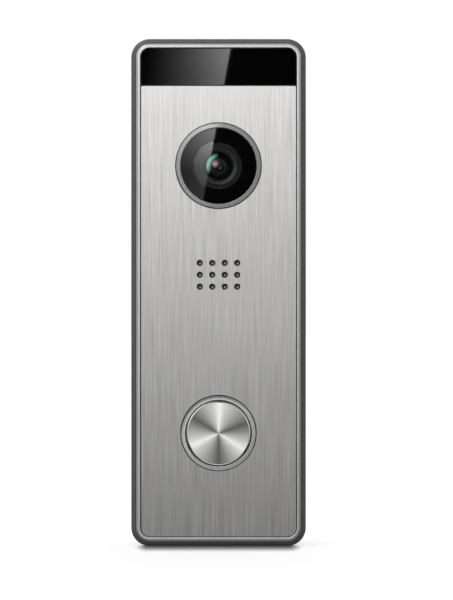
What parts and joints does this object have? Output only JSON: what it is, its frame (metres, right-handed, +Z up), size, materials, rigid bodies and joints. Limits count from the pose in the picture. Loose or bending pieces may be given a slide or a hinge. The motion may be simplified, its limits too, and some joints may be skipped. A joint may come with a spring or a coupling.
{
  "type": "door intercom panel",
  "caption": "Slim wall-mounted video door intercom panel with camera, speaker grille, infrared window, sprung call button and a steel wall bracket.",
  "frame": {"origin": "centre of the wall bracket's back face, which lies against the wall", "axes": "+Z up, +X to the right of a person facing the panel, +Y into the wall; the front looks along -Y"},
  "size_m": [0.052, 0.022, 0.151],
  "materials": {
    "housing_paint": "satin powder coat",
    "trim_metal": "satin, machined facets",
    "brushed_plate": "vertical brushed",
    "adhesive": "matte",
    "smoked_window": "polished black",
    "ring_metal": "satin",
    "cover_glass": "polished",
    "black_rubber": "matte",
    "black_foam": "matte foam",
    "lens_black": "fine matte",
    "lens_ring": "satin",
    "lens_glass": "coated, polished",
    "black_plastic": "moulded",
    "filter_glass": "coated",
    "sensor_die": "polished",
    "circuit_board": "solder mask",
    "chip_plastic": "moulded",
    "led_epoxy": "clear epoxy",
    "wire_jacket": "smooth",
    "connector_plastic": "moulded",
    "ribbon_film": "smooth film",
    "mesh_steel": "woven",
    "speaker_metal": "satin",
    "speaker_cone_film": "pressed film",
    "magnet_plate": "nickel plated",
    "capsule_can": "satin",
    "button_steel": "circular brushed",
    "stem_plastic": "moulded",
    "spring_steel": "drawn wire",
    "screw_steel": "zinc plated",
    "switch_black": "moulded",
    "switch_red": "moulded",
    "capacitor_can": "satin",
    "ceramic_parts": "fired",
    "contact_gold": "plated",
    "trimmer_blue": "moulded",
    "trimmer_white": "moulded",
    "switch_can": "plated",
    "cover_plastic": "fine moulded grain",
    "bracket_steel": "zinc plated sheet"
  },
  "bodies": {
    "panel": {"housing": "housing_paint", "trim_frame": "trim_metal", "front_plate": "brushed_plate", "plate_adhesive": "adhesive", "ir_window": "smoked_window", "window_adhesive": "adhesive", "camera_ring": "ring_metal", "camera_glass": "cover_glass", "camera_glass_seal": "black_rubber", "light_shield": "black_foam", "lens_barrel": "lens_black", "lens_retainer": "lens_ring", "lens_front_element": "lens_glass", "lens_rear_element": "lens_glass", "lens_holder": "black_plastic", "infrared_filter": "filter_glass", "image_sensor": "sensor_die", "camera_board": "circuit_board", "camera_chips": "chip_plastic", "ir_board": "circuit_board", "ir_leds": "led_epoxy", "light_sensor": "led_epoxy", "ir_wires": "wire_jacket", "ribbon_connectors": "connector_plastic", "camera_ribbon": "ribbon_film", "grille_mesh": "mesh_steel", "speaker_gasket": "black_foam", "speaker_frame": "speaker_metal", "speaker_cone": "speaker_cone_film", "speaker_magnet": "magnet_plate", "speaker_leads": "wire_jacket", "microphone": "capsule_can", "microphone_boot": "black_rubber", "button_ring": "ring_metal", "button_guide": "black_plastic", "guide_seal": "black_rubber", "guide_screws": "screw_steel", "call_switch_body": "switch_black", "main_board": "circuit_board", "board_screws": "screw_steel", "main_chips": "chip_plastic", "capacitors": "capacitor_can", "surface_parts": "ceramic_parts", "terminal_header": "connector_plastic", "terminal_pins": "contact_gold", "trimmer_body": "trimmer_blue", "format_switch_body": "switch_can", "rear_gasket": "black_rubber", "rear_cover": "cover_plastic", "cover_screws": "screw_steel", "wall_bracket": "bracket_steel", "lock_screw": "screw_steel"},
    "call_button": {"button_cap": "button_steel", "button_stem": "stem_plastic", "button_clip": "spring_steel", "button_spring": "spring_steel"},
    "call_switch": {"call_switch_plunger": "switch_red"},
    "volume_adjuster": {"trimmer_rotor": "trimmer_white"},
    "format_selector": {"format_switch_knob": "switch_black"}
  },
  "joints": [
    {"name": "call_button_press", "type": "slide", "parent": "panel", "child": "call_button", "axis": [0, 1, 0], "range_m": [0, 0.0008], "stiffness_N_per_m": 1500, "deforming": ["button_spring"]},
    {"name": "call_switch_press", "type": "slide", "parent": "panel", "child": "call_switch", "axis": [0, 1, 0], "range_m": [0, 0.0008]},
    {"name": "volume_turn", "type": "hinge", "parent": "panel", "child": "volume_adjuster", "pos_m": [0.012, -0.0072, -0.0379], "axis": [0, 1, 0], "range_deg": [-135, 135]},
    {"name": "format_slide", "type": "slide", "parent": "panel", "child": "format_selector", "axis": [1, 0, 0], "range_m": [0, 0.002]}
  ],
  "couplings": [
    {"joint": "call_switch_press", "follows": "call_button_press", "ratio": 1}
  ]
}
